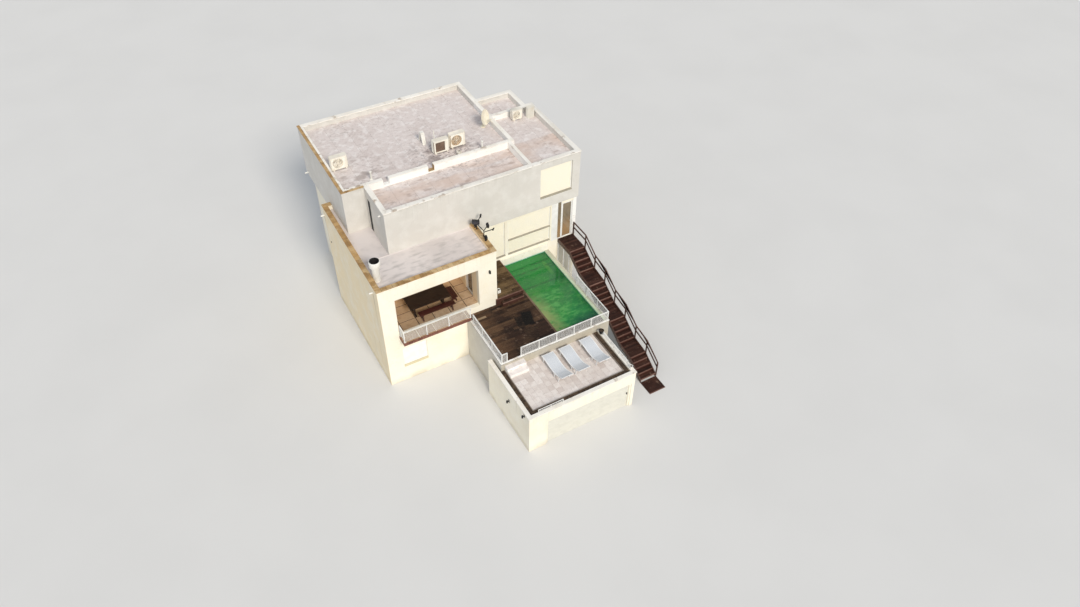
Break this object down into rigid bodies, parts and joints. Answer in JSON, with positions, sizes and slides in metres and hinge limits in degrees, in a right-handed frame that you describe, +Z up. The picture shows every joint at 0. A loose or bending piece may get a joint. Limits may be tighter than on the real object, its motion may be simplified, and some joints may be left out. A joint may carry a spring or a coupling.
{
  "type": "beach house",
  "caption": "Modern white beach house with stepped flat roofs, a loggia, a wooden deck with a pool, a garage under a terrace, and a hinged entrance door on an outdoor stair.",
  "frame": {"origin": "on the ground, under the middle of the whole house", "axes": "+X to the right as one faces the garage door, +Y from the garage to the back wall, +Z up"},
  "size_m": [13.05, 19.1, 9.9235],
  "materials": {
    "cream_render": "matte",
    "light_render": "matte",
    "grey_render": "matte",
    "white_masonry": "matte",
    "light_stone": "matte",
    "garage_door_paint": "satin",
    "white_steel": "satin",
    "lounger_plastic": "satin",
    "sling_fabric": "matte",
    "pool_tiles": "gloss",
    "deck_wood": "matte",
    "brick_tiles": "matte",
    "grey_roofing": "matte",
    "ochre_tiles": "matte",
    "white_metal": "satin",
    "black_metal": "satin",
    "shutter_aluminium": "satin",
    "floor_tiles": "satin",
    "frame_aluminium": "satin",
    "window_glass": "gloss",
    "roof_membrane": "matte",
    "stair_wood": "matte",
    "brown_steel": "satin",
    "table_wood": "satin",
    "bench_wood": "satin",
    "sill_stone": "matte",
    "riser_wood": "matte",
    "pot_glaze": "satin"
  },
  "bodies": {
    "house": {"garage_front_wall": "cream_render", "garage_side_walls": "cream_render", "garage_door": "garage_door_paint", "garage_door_handle": "black_metal", "terrace_slab": "light_stone", "terrace_steps": "white_masonry", "terrace_rails": "white_steel", "lounger_frames": "lounger_plastic", "lounger_slings": "sling_fabric", "retaining_walls": "grey_render", "pool_shell": "pool_tiles", "pool_rim": "white_masonry", "lower_deck": "deck_wood", "upper_deck": "deck_wood", "deck_railings": "white_steel", "balcony_slab": "cream_render", "balcony_edge": "brick_tiles", "balcony_railing": "white_steel", "wing_front_wall": "cream_render", "wing_left_wall": "cream_render", "wing_right_wall": "cream_render", "rear_left_wall": "cream_render", "loggia_back_wall": "cream_render", "wing_roof": "grey_roofing", "ochre_copings": "ochre_tiles", "white_copings": "white_masonry", "chimney_flue": "white_metal", "outdoor_lamps": "black_metal", "rain_spouts": "black_metal", "roller_shutters": "shutter_aluminium", "window_sills": "sill_stone", "lower_front_wall": "cream_render", "back_wall": "light_render", "right_wall": "light_render", "living_floor": "floor_tiles", "living_front_wall": "cream_render", "aluminium_frames": "frame_aluminium", "fixed_glass": "window_glass", "entrance_header": "white_masonry", "corner_column": "white_masonry", "upper_floor_slab": "light_render", "upper_front_wall": "light_render", "upper_left_wall": "light_render", "upper_slot_wall": "light_render", "roof_slabs": "roof_membrane", "roof_upstands": "white_masonry", "ac_units": "white_metal", "satellite_dish": "white_metal", "roof_vents": "white_metal", "stair_treads": "stair_wood", "stair_risers": "riser_wood", "stair_frame": "brown_steel", "landing_posts": "white_steel", "stair_handrail": "brown_steel", "dining_table": "table_wood", "dining_benches": "bench_wood", "plant_pots": "pot_glaze"},
    "entrance_leaf": {"entrance_door": "frame_aluminium", "entrance_door_glass": "window_glass"}
  },
  "joints": [
    {"name": "entrance_door_hinge", "type": "hinge", "parent": "house", "child": "entrance_leaf", "pos_m": [5.583, 0.468, 4.65], "axis": [0, 0, 1], "range_deg": [0, 90]}
  ]
}
